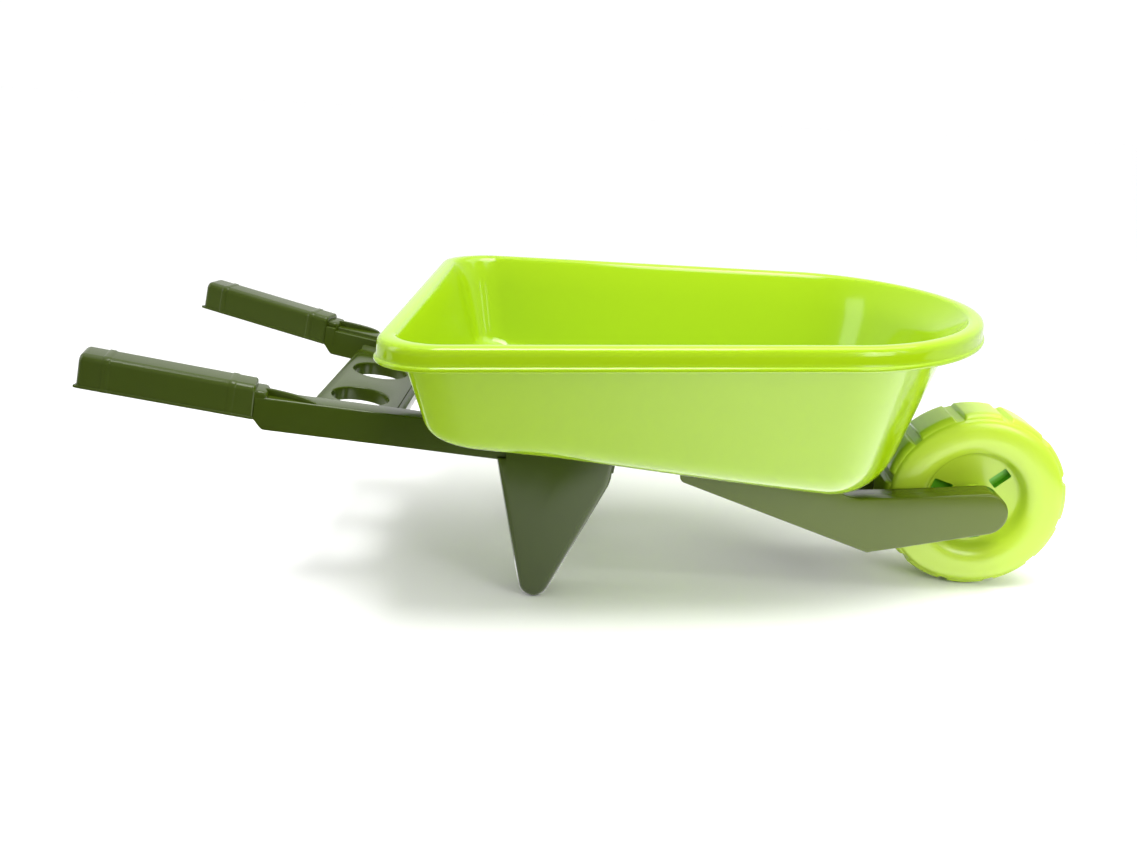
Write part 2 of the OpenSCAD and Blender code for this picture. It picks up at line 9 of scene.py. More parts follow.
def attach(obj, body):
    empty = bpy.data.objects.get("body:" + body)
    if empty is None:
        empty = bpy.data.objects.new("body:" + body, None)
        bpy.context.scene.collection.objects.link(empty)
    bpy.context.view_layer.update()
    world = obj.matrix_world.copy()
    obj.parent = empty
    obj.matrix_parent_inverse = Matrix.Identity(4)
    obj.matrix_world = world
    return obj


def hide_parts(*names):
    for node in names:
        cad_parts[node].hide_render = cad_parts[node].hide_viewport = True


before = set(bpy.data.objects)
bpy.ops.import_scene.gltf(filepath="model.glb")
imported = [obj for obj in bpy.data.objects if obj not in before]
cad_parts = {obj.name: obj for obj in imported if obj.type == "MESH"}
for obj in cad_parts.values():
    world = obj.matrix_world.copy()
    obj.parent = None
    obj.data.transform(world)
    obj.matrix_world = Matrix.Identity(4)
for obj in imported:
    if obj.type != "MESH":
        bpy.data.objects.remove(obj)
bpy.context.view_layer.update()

# Child-size plastic wheelbarrow. Shapes are made in millimetres: X forward, Y to the left, Z up.
# The left part is modelled; the right one is its mirror image.

MM = 0.001


def add_object(name, data):
    ob = bpy.data.objects.new(name, data)
    bpy.context.scene.collection.objects.link(ob)
    return ob


# ---- materials ---------------------------------------------------------------

MOTTLE = 0.2           # most that the darker pigment shows
PEEL_DEPTH = 0.0006    # depth of the moulded surface texture, m


def set_inputs(node, values):
    for socket, value in values.items():
        node.inputs[socket].default_value = value


def new_material(name):
    m = bpy.data.materials.new(name)
    m.use_nodes = True
    return m, m.node_tree, m.node_tree.nodes["Principled BSDF"]


def noise(tree, scale, detail):
    """Noise in the piece's own space."""
    where = tree.nodes.new("ShaderNodeTexCoord")
    x = tree.nodes.new("ShaderNodeTexNoise")
    set_inputs(x, {"Scale": scale, "Detail": detail})
    tree.links.new(where.outputs["Object"], x.inputs["Vector"])
    return x.outputs["Fac"]


def map_range(tree, value, result, span=(0, 1), kind="LINEAR"):
    """The value, mapped from the pair span to the pair result."""
    x = tree.nodes.new("ShaderNodeMapRange")
    x.interpolation_type = kind
    set_inputs(x, {"From Min": span[0], "From Max": span[1], "To Min": result[0], "To Max": result[1]})
    tree.links.new(value, x.inputs["Value"])
    return x.outputs["Result"]


def mix_colors(tree, factor, a, b):
    x = tree.nodes.new("ShaderNodeMix")
    x.data_type = "RGBA"
    set_inputs(x, {"A": (*a, 1), "B": (*b, 1)})
    tree.links.new(factor, x.inputs["Factor"])
    return x.outputs["Result"]


def along_axis(tree, space, axis, span, result):
    """A value that runs smoothly from one strength to another along an axis."""
    where = tree.nodes.new("ShaderNodeTexCoord")
    split = tree.nodes.new("ShaderNodeSeparateXYZ")
    tree.links.new(where.outputs[space], split.inputs["Vector"])
    return map_range(tree, split.outputs[axis], result, span, "SMOOTHSTEP")


def plastic(name, color, dark, rough, peel=0.012, ior=1.36):
    """Moulded plastic: faint pigment mottling, uneven gloss and a fine surface texture."""
    m, tree, bsdf = new_material(name)
    bsdf.inputs["IOR"].default_value = ior
    broad, close = noise(tree, 9, 3), noise(tree, 55, 4)
    shade = map_range(tree, broad, (0, MOTTLE), (0.35, 0.7))
    tree.links.new(mix_colors(tree, shade, color, dark), bsdf.inputs["Base Color"])
    gloss = map_range(tree, close, (rough * 0.92, rough * 1.1), (0.3, 0.7))
    tree.links.new(gloss, bsdf.inputs["Roughness"])
    bump = tree.nodes.new("ShaderNodeBump")
    set_inputs(bump, {"Strength": peel, "Distance": PEEL_DEPTH})
    tree.links.new(close, bump.inputs["Height"])
    tree.links.new(bump.outputs["Normal"], bsdf.inputs["Normal"])
    return m


def steel(name, color, rough):
    m, tree, bsdf = new_material(name)
    bsdf.inputs["Metallic"].default_value = 1
    grain = noise(tree, 400, 4)
    tree.links.new(map_range(tree, grain, (rough * 0.7, rough * 1.4)), bsdf.inputs["Roughness"])
    tint = mix_colors(tree, grain, color, [c * 0.75 for c in color])
    tree.links.new(tint, bsdf.inputs["Base Color"])
    return m


lime = plastic("lime_moulding", (0.27, 0.435, 0.003), (0.255, 0.42, 0.002), 0.12, ior=1.42)
wheel_lime = plastic("wheel_moulding", (0.40, 0.56, 0.03), (0.37, 0.54, 0.025), 0.22, ior=1.45)
# deeper green for the slots' lower walls and backs: painted shade, standing in for the shade and the green
# light bouncing inside the slots
wheel_painted_shade = plastic("wheel_slot_painted_shade", (0.13, 0.46, 0.010), (0.10, 0.40, 0.008), 0.35, peel=0.02, ior=1.49)
olive = plastic("olive_moulding", (0.038, 0.059, 0.003), (0.034, 0.054, 0.002), 0.20)
olive_grip = plastic("olive_grip", (0.042, 0.064, 0.005), (0.038, 0.059, 0.004), 0.24, peel=0.006)
# lighter copy of the olive for the fork arms: painted light, standing in for the stronger light that falls on
# the arms from the front right
olive_fork_painted_light = plastic("olive_fork_painted_light", (0.078, 0.112, 0.004), (0.072, 0.104, 0.003), 0.20, ior=1.35)
zinc = steel("zinc_plate", (0.62, 0.62, 0.60), 0.3)
rod = steel("drawn_rod", (0.58, 0.58, 0.57), 0.22)

# ---- mesh helpers ------------------------------------------------------------


class Shape:
    """Vertices, faces and material numbers of one piece, in millimetres."""

    def __init__(self):
        self.verts, self.faces, self.mats = [], [], []

    def add(self, verts, faces, mats):
        n = len(self.verts)
        self.verts += [tuple(p) for p in verts]
        self.faces += [[n + i for i in f] for f in faces]
        self.mats += mats
        return self

    def merge(self, other):
        return self.add(other.verts, other.faces, other.mats)

    def loft(self, rings, caps=(True, True), mat=0):
        """Skin over closed rings with the same number of points."""
        n = len(rings[0])
        faces = [[j * n + k, j * n + (k + 1) % n, (j + 1) * n + (k + 1) % n, (j + 1) * n + k]
                 for j in range(len(rings) - 1) for k in range(n)]
        if caps[0]:
            faces.append(list(range(n))[::-1])
        if caps[1]:
            faces.append([(len(rings) - 1) * n + k for k in range(n)])
        return self.add([p for r in rings for p in r], faces, [mat] * len(faces))

    def flat(self, loops):
        """A flat face bounded by closed loops of points, holes included."""
        bm = bmesh.new()
        for points in loops:
            v = [bm.verts.new(p) for p in points]
            for i in range(len(v)):
                bm.edges.new((v[i], v[(i + 1) % len(v)]))
        bmesh.ops.triangle_fill(bm, use_beauty=True, use_dissolve=False, edges=bm.edges)
        bm.verts.index_update()
        faces = [[v.index for v in f.verts] for f in bm.faces]
        self.add([tuple(v.co) for v in bm.verts], faces, [0] * len(faces))
        bm.free()

    def moved(self, m, side=1):
        """A copy moved by the matrix m; side -1 mirrors it to the right."""
        p = np.c_[np.array(self.verts, float), np.ones(len(self.verts))] @ np.asarray(m).T
        return Shape().add(p[:, :3] * [1, side, 1], self.faces, self.mats)


def piece(name, shape, body, nodes, mats, sharp):
    """The shape as an object; edges sharper than the angle in degrees stay hard."""
    mesh = bpy.data.meshes.new(name)
    mesh.from_pydata((np.asarray(shape.verts, float) * MM).tolist(), [], shape.faces)
    for m in mats:
        mesh.materials.append(m)
    mesh.polygons.foreach_set("material_index", shape.mats)
    bm = bmesh.new()
    bm.from_mesh(mesh)
    bmesh.ops.remove_doubles(bm, verts=bm.verts, dist=1e-6)
    bmesh.ops.dissolve_degenerate(bm, edges=bm.edges, dist=1e-6)
    bmesh.ops.recalc_face_normals(bm, faces=bm.faces)
    bm.to_mesh(mesh)
    bm.free()
    mesh.shade_smooth()
    mesh.set_sharp_from_angle(angle=math.radians(sharp))
    ob = add_object(name, mesh)
    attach(ob, body)
    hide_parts(*nodes)


def shift(x, y, z):
    return np.array(Matrix.Translation((x, y, z)))


def turn(axis, degrees):
    return np.array(Matrix.Rotation(math.radians(degrees), 4, axis))


def angles(first, last, n):
    """n angles in radians, from the first to the last in degrees."""
    return np.radians(np.linspace(first, last, n))


def arc(c, r, a, b, n):
    """n steps along an arc around c, from a to b degrees."""
    return [(c[0] + r * math.cos(math.radians(a + (b - a) * i / n)),
             c[1] + r * math.sin(math.radians(a + (b - a) * i / n))) for i in range(n + 1)]


def circle(x, z, r, y, n):
    """Ring of n points around (x, z), in the plane at y."""
    return [(x + r * math.cos(t), y, z + r * math.sin(t))
            for t in np.linspace(0, 2 * math.pi, n, endpoint=False)]


def dense(points, step):
    """Closed outline with points added so that no edge is longer than step."""
    out = []
    for i, p in enumerate(points):
        q = points[(i + 1) % len(points)]
        n = max(1, math.ceil(math.dist(p, q) / step))
        out += [(p[0] + (q[0] - p[0]) * k / n, p[1] + (q[1] - p[1]) * k / n) for k in range(n)]
    return np.array(out)


def inward(o):
    """Miter normals of a closed outline, pointing in."""
    e = np.roll(o, -1, 0) - o
    n = np.c_[-e[:, 1], e[:, 0]] / np.linalg.norm(e, axis=1)[:, None]
    if np.sum(o[:, 0] * np.roll(o[:, 1], -1) - np.roll(o[:, 0], -1) * o[:, 1]) < 0:
        n = -n
    m = np.roll(n, 1, 0)
    return (n + m) / (1 + np.sum(n * m, 1))[:, None].clip(0.35)


def slab_rings(outline, steps):
    """Rings in XZ planes; each step is (inset, y), either of them one value or one per point."""
    m = inward(outline)
    out = []
    for inset, y in steps:
        q = outline + m * np.reshape(inset, (-1, 1))
        out.append([(a, b, c) for (a, c), b in zip(q, np.broadcast_to(y, len(q)))])
    return out


def round_steps(r, y, way, n):
    """Steps of a rounded edge of radius r that ends in the face at y; way is the outward sign."""
    return [(r * (1 - math.sin(t)), y - way * r * (1 - math.cos(t))) for t in angles(90, 0, n + 1)]


def boxed(x0, x1, y0, y1, z0, z1, r):
    """Rounded box as a loft along X."""
    rings = []
    for x, g in [(x0, r), (x0 + 0.3 * r, 0.3 * r), (x0 + r, 0),
                 (x1 - r, 0), (x1 - 0.3 * r, 0.3 * r), (x1, r)]:
        corners = (arc((y1 - r, z1 - r), r - g, 0, 90, 4) + arc((y0 + r, z1 - r), r - g, 90, 180, 4)
                   + arc((y0 + r, z0 + r), r - g, 180, 270, 4) + arc((y1 - r, z0 + r), r - g, 270, 360, 4))
        rings.append([(x, a, b) for a, b in corners])
    return Shape().loft(rings)


# ---- shared dimensions -------------------------------------------------------

SPLAY = 10.15                      # degrees that each rail turns outwards to the rear
TAN_SPLAY = math.tan(math.radians(SPLAY))
RAIL_Z, RAIL_PITCH = 124, 7.7      # height of the rails' top at X = 0 and their fall in degrees
RAIL_Y, RAIL_W, RAIL_H = 79.2, 24, 24
FRAME_T = 2.8                      # wall of the hollow mouldings
LEDGE_W, LEDGE_H = 6, 2.5          # lower step along a rail's inner edge
SEAT_REAR = -129                   # where the tub's underside meets the rails
RAIL_FRONT = 8.6
PLATE_X0, PLATE_X1 = -221.5, -155
HOLE_X, HOLE_Y, HOLE_R = -192, 39, 22
DROP, COLLAR = 12.5, 11            # plate below the rails' top; depth of its collars
GRIP_X, GRIP_Z, GRIP_PITCH = -250, 140.2, 11
GRIP_REAR = 370
AXLE_X, AXLE_Z = 297, 73

on_frame = shift(0, 0, RAIL_Z) @ turn("Y", RAIL_PITCH)
on_rail = on_frame @ shift(0, RAIL_Y, 0) @ turn("Z", -SPLAY)
on_grip = (shift(GRIP_X, RAIL_Y - TAN_SPLAY * GRIP_X - RAIL_W / 2, GRIP_Z)
           @ turn("Y", GRIP_PITCH) @ turn("Z", -SPLAY))
on_leg = shift(0, RAIL_Y, 0) @ turn("Z", -SPLAY)
to_rail = np.linalg.inv(on_rail)


def rail_u(x):
    """Length along a rail at the part's X."""
    return x / (math.cos(math.radians(SPLAY)) * math.cos(math.radians(RAIL_PITCH)))


U0, U1, U_SEAT = rail_u(GRIP_X), rail_u(RAIL_FRONT), rail_u(SEAT_REAR)

# ---- tub ---------------------------------------------------------------------

RIM_Z, RIM_RISE = 219, 0.0225      # height at X = 0 and rise per mm forward
RIM_HALF, RIM_TAPER = 175, 0.139   # half width at X = 0 and its loss per mm forward
RIM_R, RIM_REAR = 40, 160          # radius of the rear corners; rear end
CORNER_LOSS = 0.45                 # how fast that radius shrinks with the inset
NOSE0, NOSE1 = 163, 282            # where the nose begins and ends
NOSE_SET = 8.5                     # how much further in the nose's wall stands
WALL_OUT, WALL_T = 12, 2.8
WALL_IN = WALL_OUT + WALL_T
WALL_ANGLES = (16, 19, 17)         # degrees from upright: rear, sides, nose
WALL_TOP = 16                      # where the straight wall begins, below the rim
SEAT_Z, SEAT_PITCH = 117.5, math.radians(9)
SEAT_SLOPE = math.tan(SEAT_PITCH)
TAPER = math.atan(RIM_TAPER)
FOOT_R = 22                        # size of the rounding between wall and floor
REAR_TIGHTER, NOSE_WIDER = 9, 18   # what it loses at the rear and gains at the nose
ARC_N, SIDE_N, NOSE_N = 18, 14, 40
HALF_N = ARC_N + 1 + SIDE_N + NOSE_N
RING = 2 * HALF_N - 1


def rim_top(x):
    return RIM_Z + RIM_RISE * x


def seat(x, up=0.0):
    """Height of the tub's underside, or of the plane that lies this far above it."""
    return SEAT_Z + up / math.cos(SEAT_PITCH) - SEAT_SLOPE * x


def half_w(x, q):
    return RIM_HALF - RIM_TAPER * x - q / math.cos(TAPER)


def half_pt(i, q):
    """Point i of the left half of the outline, inset by q, from the rear to the nose."""
    r = RIM_R - CORNER_LOSS * q
    cx = -RIM_REAR + q + r
    cy = half_w(cx, q + r)
    if i <= ARC_N:
        t = math.radians(180) - (math.radians(90) + TAPER) * i / ARC_N
        return cx + r * math.cos(t), cy + r * math.sin(t)
    if i <= ARC_N + SIDE_N:
        x0 = cx + r * math.sin(TAPER)
        x = x0 + (NOSE0 - x0) * (i - ARC_N) / (SIDE_N + 1)
        return x, half_w(x, q)
    t = math.radians(90) * (i - ARC_N - SIDE_N - 1) / (NOSE_N - 1)
    x = NOSE0 + (NOSE1 - q - NOSE0) * math.sin(t)
    return x, half_w(x, q) * math.cos(t)


def rim_pt(k, q):
    """Point k of the whole outline, inset by q."""
    if k < HALF_N:
        return half_pt(k, q)
    x, y = half_pt(RING - k, q)
    return x, -y


def zone(k):
    """Weights of rear, side and nose at point k."""
    i = min(k, RING - k)
    if i <= ARC_N:
        s = math.sin(math.radians(90) * i / ARC_N) ** 2
        return 1 - s, s, 0.0
    if i <= ARC_N + SIDE_N:
        return 0.0, 1.0, 0.0
    s = math.sin(math.radians(90) * (i - ARC_N - SIDE_N - 1) / (NOSE_N - 1)) ** 2
    return 0.0, 1 - s, s


def wall_slope(k):
    return math.tan(math.radians(sum(a * w for a, w in zip(WALL_ANGLES, zone(k)))))


def wall_pt(k, q, dz):
    x, y = rim_pt(k, q + NOSE_SET * zone(k)[2] + dz * wall_slope(k))
    return np.array([x, y, rim_top(x) - dz])


def foot_q(k, q, up):
    """Inset at which the wall meets the floor plane."""
    q0 = q + NOSE_SET * zone(k)[2]
    qq = q0
    for _ in range(2):
        x = rim_pt(k, qq)[0]
        qq = q0 + (rim_top(x) - seat(x, up)) * wall_slope(k)
    return qq


def on_seat_pt(k, q, up):
    x, y = rim_pt(k, q)
    return np.array([x, y, seat(x, up)])


def foot_size(k):
    x = rim_pt(k, WALL_OUT)[0]
    tight = REAR_TIGHTER * np.clip((-50 - x) / 60, 0, 1)
    return FOOT_R - tight + NOSE_WIDER * max(0, (x - 60) / (NOSE1 - 60)) ** 2


def side_rings(q, up, extra, rows=6, n=12):
    """Rings down the straight wall, and rings around the rounding at its foot."""
    data = []
    for k in range(RING):
        fq, f = foot_q(k, q, up), foot_size(k) + extra
        corner = on_seat_pt(k, fq, up)
        top = wall_pt(k, q, WALL_TOP)
        wall = corner + (top - corner) * f / np.linalg.norm(top - corner)
        data.append((top, wall, corner, on_seat_pt(k, fq + f, up)))
    straight = [[t + (w - t) * j / rows for t, w, _, _ in data] for j in range(rows)]
    rounded = [[(1 - a) ** 2 * w + 2 * a * (1 - a) * c + a * a * fl for _, w, c, fl in data]
               for a in (j / n for j in range(n + 1))]
    return straight, rounded


def rim_ring(q, dz):
    return [(x, y, rim_top(x) + dz) for x, y in (rim_pt(k, q) for k in range(RING))]


# rolled rim with a bead along its lower edge, from the inside over the top: (inset, height)
RIM = [(WALL_IN + 0.4, -5), (WALL_IN - 1.0, -2.0), (WALL_IN - 2.4, -0.6), (WALL_IN - 4.4, 0.0),
       (6.4, -0.1), (4.4, -0.6), (2.9, -1.7), (2.1, -3.4), (1.8, -6), (1.6, -10), (1.5, -12.5),
       (1.35, -13.0), (0.7, -13.3), (0.2, -13.7), (0.0, -14.4), (0.0, -15.4), (0.3, -16.2), (1.2, -16.6),
       (2.2, -16.0), (3.0, -14.6), (3.6, -12), (4.2, -7), (4.8, -4.8), (6.2, -3.3), (8.6, -2.9),
       (WALL_OUT - 1.6, -3.2), (WALL_OUT - 0.4, -4.4)]

inner_wall, inner_foot = side_rings(WALL_IN, WALL_T, 0)
outer_wall, outer_foot = side_rings(WALL_OUT, 0, WALL_T)
tub = Shape().loft(inner_foot[:0:-1] + inner_wall[::-1] + [rim_ring(q, dz) for q, dz in RIM]
                   + outer_wall + outer_foot)
piece("tub_moulding", tub, "frame", ["tub"], [lime], sharp=50)

# ---- grips ---------------------------------------------------------------------

GRIP_W, GRIP_H = 25.6, 25.6
GRIP_SET = 0.5                     # how far the plain grip lies inside its beads
REAR_BEAD, FRONT_BEAD, BEAD_L = 16, 24, 4.5
GRIP_L = (GRIP_REAR + GRIP_X) / (math.cos(math.radians(GRIP_PITCH)) * math.cos(math.radians(SPLAY)))
REAR_R, FRONT_R = 4.0, 2.6         # rounding of the grip's ends
FIT_L = 19                         # length over which the front end adapts to the rail's end


def grip_section(g):
    """Section of a grip, smaller by g: rounded top corners and a thin ledge along the bottom."""
    w, h, r, low = GRIP_W / 2 - g, GRIP_H - g, 4.9 - 0.4 * min(g, 4), GRIP_SET
    e = GRIP_W / 2 - low - 0.3 * (g - low) + 0.8
    side = [(-w, 3.0), (-w - 0.1, 2.5), (-e + 0.15, 2.3), (-e, 1.8), (-e, low + 0.6),
            (-e + 0.25, low + 0.1), (-e + 0.8, low)]
    top = arc((w - r, h - r), r, 0, 90, 9) + arc((r - w, h - r), r, 90, 180, 9)
    return top + side + [(-a, b) for a, b in side[::-1]]


def grip_shape():
    stations = [(REAR_R - REAR_R * math.cos(t), GRIP_SET + REAR_R - REAR_R * math.sin(t))
                for t in angles(0, 90, 9)]
    for a in (REAR_BEAD, GRIP_L - FRONT_BEAD):
        b = a + BEAD_L
        stations += [(a - 0.7, 0.5), (a - 0.25, 0.44), (a + 0.2, 0.2), (a + 0.7, 0.04),
                     (b - 0.7, 0.04), (b - 0.2, 0.2), (b + 0.25, 0.44), (b + 0.7, 0.5)]
    stations += [(GRIP_L - FRONT_R + FRONT_R * math.sin(t), GRIP_SET + FRONT_R - FRONT_R * math.cos(t))
                 for t in angles(0, 90, 7)]
    # the front end stands flush with the rail's rear end; the ledge reaches back a little
    m = to_rail @ on_grip
    rings = []
    for x, g in stations:
        w = max(0.0, (x - GRIP_L + FIT_L) / FIT_L)
        ring = []
        for y, z in grip_section(g):
            end = (U0 - m[0, 3] - m[0, 1] * y - m[0, 2] * z) / m[0, 0]
            back = 1.4 * max(0.0, 1 - x / 7) if z < 2.45 else 0.0
            ring.append((x - GRIP_L + w * end - back, y, z))
        rings.append(ring)
    return Shape().loft(rings)


for side, name in ((1, "left"), (-1, "right")):
    piece(f"grip_{name}_moulding", grip_shape().moved(on_grip, side), "frame", [f"grip_{name}"],
          [olive_grip], sharp=50)

# ---- handle frame ----------------------------------------------------------------

END_L = 14                         # solid length at a rail's rear end
RIB_W, RIB_L, RIB_H, RIB_TURN = 3, 35, 4.6, 12


def seat_drop(u):
    """Height of the tub's underside in the rail's own frame, at the rail's middle."""
    a = to_rail @ [0, 0, SEAT_Z, 1]
    n = to_rail[:3, :3] @ [math.sin(SEAT_PITCH), 0, math.cos(SEAT_PITCH)]
    return a[2] - (n[0] * (u - a[0]) + n[1] * (-RAIL_W / 2 - a[1])) / n[2]


def rail_section(top, bottom, cave, ledge):
    """Section of the rail: an inverted U of wall FRAME_T with a lower ledge at the inner edge."""
    r, w, t = 1.6, RAIL_W, FRAME_T
    low, step, soft = top - ledge, LEDGE_W - RAIL_W, min(ledge, 1)
    out = [(0, bottom + 0.5), (0.0, top - r)] + arc((-r, top - r), r, 15, 90, 5)
    out += [(step + 0.9, top), (step + 0.3, top - 0.15 * soft), (step, top - 0.5 * soft),
            (step, low + 0.4 * soft), (step - 0.3, low)]
    out += arc((0.9 - w, low - 0.9), 0.9, 90, 180, 4) + [(-w, bottom + 0.5), (0.5 - w, bottom)]
    roof = bottom + cave
    return out + [(t - w, bottom), (t - w, roof - 0.01), (t - w, roof), (-t, roof), (-t, roof - 0.01),
                  (-t, bottom), (-0.5, bottom)]


def rail_body():
    # the rear end slopes up under the grip; double stations keep the hollow's ends square
    stations = [(U0, -17), (U0 + 0.4, -17.2), (U0 + 1.6, -18.4), (U0 + 3.6, -20.8), (U0 + 5.6, -22.9),
                (U0 + 7.0, -23.8)]
    level = [U0 + 8.4, U0 + 8.6, U0 + 9.0, U0 + END_L, U0 + END_L + 0.05, U_SEAT - 0.8, U_SEAT - 0.1,
             U_SEAT + 0.1]
    level += [U_SEAT + (U1 - FRAME_T - 0.05 - U_SEAT) * k / 8 for k in range(1, 9)]
    level += [U1 - FRAME_T, U1 - 0.6]
    stations += [(u, -RAIL_H) for u in level] + [(U1, -RAIL_H + 0.3)]
    rings = []
    for u, bottom in stations:
        top, ledge, cave = 0.0, 0.0, 0.0
        if u < U_SEAT:
            ledge = LEDGE_H * min(1.0, max(0.0, (u - U0 - 8.5) / 0.5))
        else:
            top = min(0.0, seat_drop(u))
        if U0 + END_L + 0.02 < u < U1 - FRAME_T - 0.02:
            cave = top - FRAME_T - LEDGE_H - bottom
        edge = 0.5 if u in (U0, U1) else 0.0
        rings.append([(u, y, z) for y, z in rail_section(top - edge, bottom, cave, ledge)])
    return Shape().loft(rings)


def rail_block():
    """Block behind the grip, with soft edges."""
    out, inn, r = -0.05, 3.0 - RAIL_W, 2.6
    rings = []
    for u, h, g in [(-0.5, 4.3, 0.5), (1.2, 4.4, 0.2), (6.0, 4.2, 0.2), (7.3, 3.7, 0.6),
                    (8.3, 2.4, 1.2), (8.9, 0.8, 1.8), (9.1, -2.0, 2.2)]:
        section = arc((out - g - r, h - r), r, 0, 90, 7) + arc((inn + g + r, h - r), r, 90, 180, 7)
        section += [(inn + g, -5), (out - g, -5)]
        rings.append([(U0 + u, y, z) for y, z in section])
    return Shape().loft(rings)


def rail_rib():
    """Rib with a rounded upper edge that runs down from the block to the rail's outer edge."""
    o = np.array([(-2, -1.2), (-2, 3.9)]
                 + [(2 + RIB_L * math.sin(math.radians(a)), RIB_H * math.cos(math.radians(a)))
                    for a in range(0, 91, 5)] + [(RIB_L + 2.3, -1.2)])
    fade = np.clip(o[:, 1] / 1.2, 0.15, 1)
    half = [(0.9 * fade, RIB_W / 2), (0.3 * fade, RIB_W / 2 - 0.25), (0.0, RIB_W / 2 - 0.8)]
    s = Shape().loft(slab_rings(o, [(g, -y) for g, y in half] + half[::-1]))
    return s.moved(shift(U0 + 6, 2 - RAIL_W / 2, 0) @ turn("Z", RIB_TURN))


def rail_cove():
    """Cove between the rail and the tool plate."""
    a = rail_u(PLATE_X0) + 8
    cove = [(-9.0, -1.0), (1, -1), (1, 4.5), (-0.4, 4.5), (-0.9, 4.3), (-1.2, 3.9), (-2.0, 3.0), (-3.2, 2.0),
            (-4.8, 1.1), (-6.6, 0.4), (-9.0, 0.02)]
    return Shape().loft([[(a + u, y * k - RAIL_W, z * k - DROP) for y, z in cove]
                         for u, k in ((-1.5, 0.55), (-0.6, 0.85), (0.6, 1.0), (55, 1.0), (56, 0.9))])


def plate_shape():
    """Tool plate between the rails: folded edges, two rimmed holes with collars."""
    c = math.cos(math.radians(RAIL_PITCH))
    a, b, h = PLATE_X0 / c, PLATE_X1 / c, HOLE_X / c
    # the plate reaches 2 mm into each rail
    ya, yb = (RAIL_Y - TAN_SPLAY * x - RAIL_W + 2 for x in (PLATE_X0, PLATE_X1))
    z, fillet, outer_r = -DROP, 1.4, HOLE_R + 2.6
    ts = np.linspace(0, 2 * math.pi, 72, endpoint=False)

    def ring(r, side, level):
        return [(h + r * math.cos(t), side * HOLE_Y + r * math.sin(t), level) for t in ts]

    s = Shape()
    for level, r, f in ((z, HOLE_R + fillet, b - 6), (z - 3, outer_r, b - 2.8)):
        yf = ya + (yb - ya) * (f - a) / (b - a)
        edge = [(a + 1.8, -ya, level), (f, -yf, level), (f, yf, level), (a + 1.8, ya, level)]
        s.flat([edge, ring(r, 1, level), ring(r, -1, level)])
    # collars with a rounded upper edge
    collar = [(HOLE_R + fillet * (1 - math.sin(t)), z - fillet * (1 - math.cos(t))) for t in angles(0, 90, 7)]
    collar += [(HOLE_R, z - COLLAR + 0.6), (HOLE_R + 0.6, z - COLLAR), (HOLE_R + 2.0, z - COLLAR),
               (outer_r, z - COLLAR + 0.6), (outer_r, z - 3)]
    for side in (1, -1):
        s.loft([ring(r, side, level) for r, level in collar], caps=(False, False))
    # folded rear edge, and folded front edge with the step beside it, as bars across the plate
    rear = [(a + 1.8, z), (a + 0.9, z - 0.1), (a + 0.3, z - 0.4), (a, z - 1.0), (a, z - 7.5),
            (a + 0.5, z - 8), (a + 2.3, z - 8), (a + 2.8, z - 7.5), (a + 2.8, z - 3), (a + 2.8, z - 1),
            (a + 2.2, z - 0.5)]
    front = [(b - 7, z - 2), (b - 6.4, z - 0.02), (b - 6, z - 0.02), (b - 5.85, z - 0.3), (b - 5.8, z - 1),
             (b - 0.7, z - 1), (b - 0.2, z - 1.2), (b, z - 1.8), (b, z - 9.5), (b - 0.5, z - 10),
             (b - 2.3, z - 10), (b - 2.8, z - 9.5), (b - 2.8, z - 3), (b - 7, z - 3)]
    for o, y in ((rear, ya), (front, yb + 1)):
        s.loft([[(x, -y, level) for x, level in o], [(x, y, level) for x, level in o]])
    return s


frame_shape = plate_shape().moved(on_frame)
for side in (1, -1):
    rail = rail_body().merge(rail_block()).merge(rail_rib()).merge(rail_cove())
    frame_shape.merge(rail.moved(on_rail, side))
piece("handle_frame_moulding", frame_shape, "frame", ["handle_frame"], [olive], sharp=42)

# ---- legs ------------------------------------------------------------------------

FOOT, FOOT_ROUND = (-49.5, 12.5), 12.5
KNEE, KNEE_ROUND = (-17, 97.7), 22
LEG_REAR = -81
LEG_OUT, LEG_IN = 3.0, -27.0       # faces of the leg, from the rail's outer face


def leg_shape():
    c = math.cos(math.radians(SPLAY))
    foot, knee = (FOOT[0] / c, FOOT[1]), (KNEE[0] / c, KNEE[1])
    front = knee[0] + KNEE_ROUND
    line = [(LEG_REAR / c, 112.6)] + arc(foot, FOOT_ROUND, 190.3, 333, 30) + arc(knee, KNEE_ROUND, -27, 0, 8)
    line += [(front + 0.4, 106), (front + 0.9, 111), (front + 1.2, 114), (-76.3, 125), (-76.3, 112.4)]
    o = dense(line, 5)
    # edges are rounded more further down, and most along the front
    low = np.clip((116 - o[:, 1]) / 24, 0, 1) ** 0.8
    outer = 1.0 + low * (2.4 + 4.0 * np.clip(-inward(o)[:, 0], 0, 1))
    inner = 0.8 + 1.2 * low
    back = round_steps(inner, LEG_IN, -1, 4)[::-1]
    return Shape().loft(slab_rings(o, back + round_steps(outer, LEG_OUT, 1, 7)))


for side, name in ((1, "left"), (-1, "right")):
    piece(f"leg_{name}_moulding", leg_shape().moved(on_leg, side), "frame", [f"leg_{name}"],
          [olive], sharp=42)

# ---- fork arms --------------------------------------------------------------------

ARM_IN, ARM_OUT = 28.6, 50         # inner and outer face, from the middle
ARM_END_R = 17
ARM_RIBS = (110, 160, 214, 256)
ARM_SCREWS = ((86, 92), (134, 78), (186, 60))


